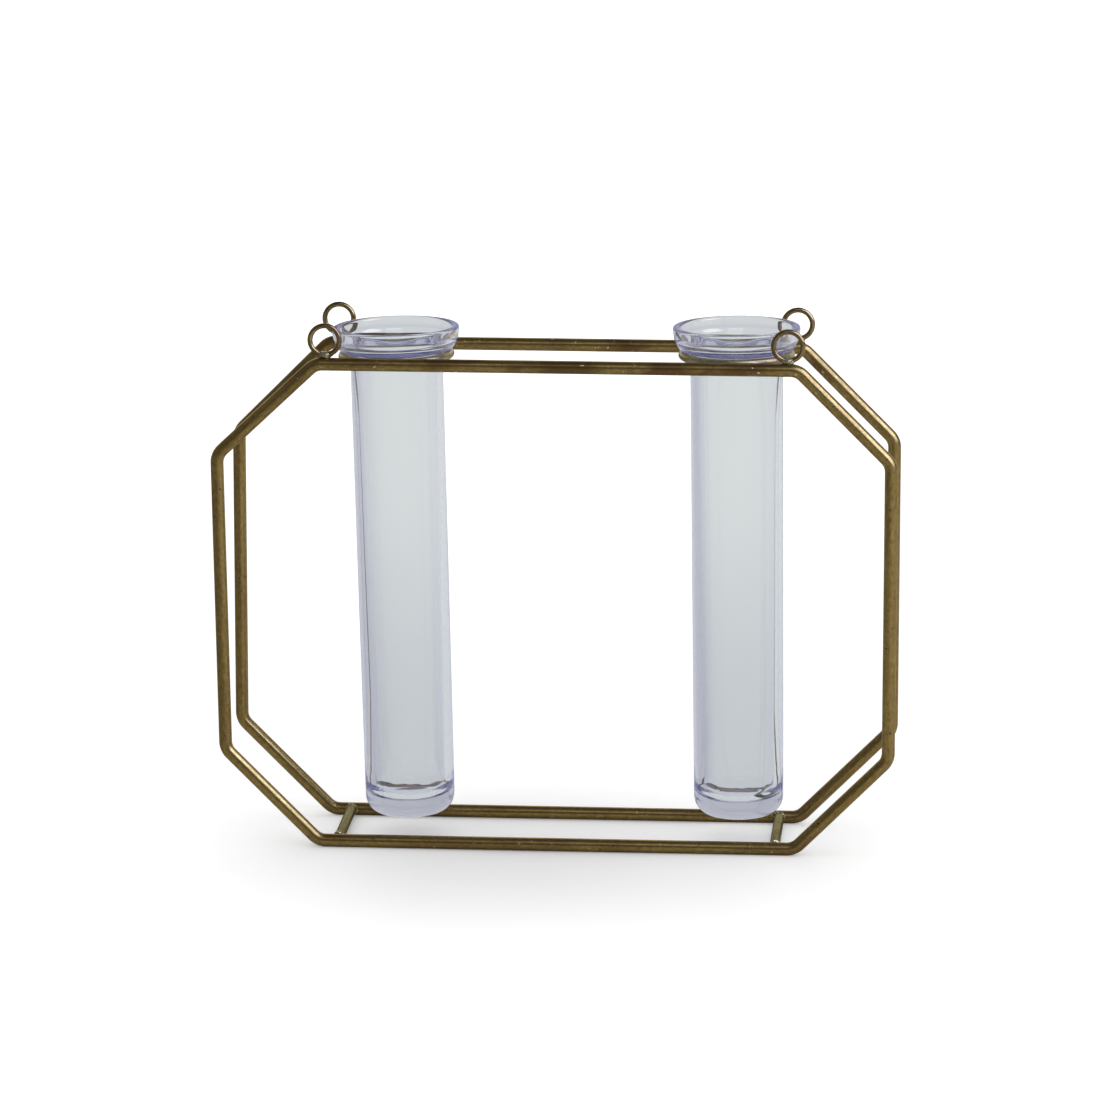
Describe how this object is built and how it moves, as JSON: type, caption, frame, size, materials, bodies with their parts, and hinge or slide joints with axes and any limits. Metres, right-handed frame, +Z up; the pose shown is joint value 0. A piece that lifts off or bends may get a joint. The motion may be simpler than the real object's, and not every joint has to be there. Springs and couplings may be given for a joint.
{
  "type": "test tube vase",
  "caption": "Free-standing flower vase: glass test tubes with cup-shaped rims hang in wire collars between two bent-rod frames with cut corners and hanging eyelets.",
  "frame": {"origin": "on the table, under the middle of the stand", "axes": "+X along the bottom rails to the right as seen from the front, +Y from the front frame to the back one, +Z up"},
  "size_m": [0.2094, 0.044, 0.1635],
  "materials": {
    "antique_brass": "aged brown brass, satin, mottled",
    "braze_metal": "paler filler metal, satin",
    "tube_glass": "clear hand-made glass with a faint lavender tint"
  },
  "bodies": {
    "stand": {"back_frame": "antique_brass", "back_left_eyelet": "antique_brass", "back_right_eyelet": "antique_brass", "collar_brazes": "braze_metal", "eyelet_brazes": "braze_metal", "frame_welds": "braze_metal", "front_frame": "antique_brass", "front_left_eyelet": "antique_brass", "front_right_eyelet": "antique_brass", "left_collar": "antique_brass", "left_tie": "antique_brass", "right_collar": "antique_brass", "right_tie": "antique_brass", "tie_brazes": "braze_metal"},
    "left_tube": {"left_tube": "tube_glass"},
    "right_tube": {"right_tube": "tube_glass"}
  },
  "joints": [
    {"name": "left_tube_lift", "type": "slide", "parent": "stand", "child": "left_tube", "axis": [-0.0262, 0, 0.9997], "range_m": [0, 0.16]},
    {"name": "right_tube_lift", "type": "slide", "parent": "stand", "child": "right_tube", "axis": [-0.0105, 0, 0.9999], "range_m": [0, 0.16]}
  ]
}
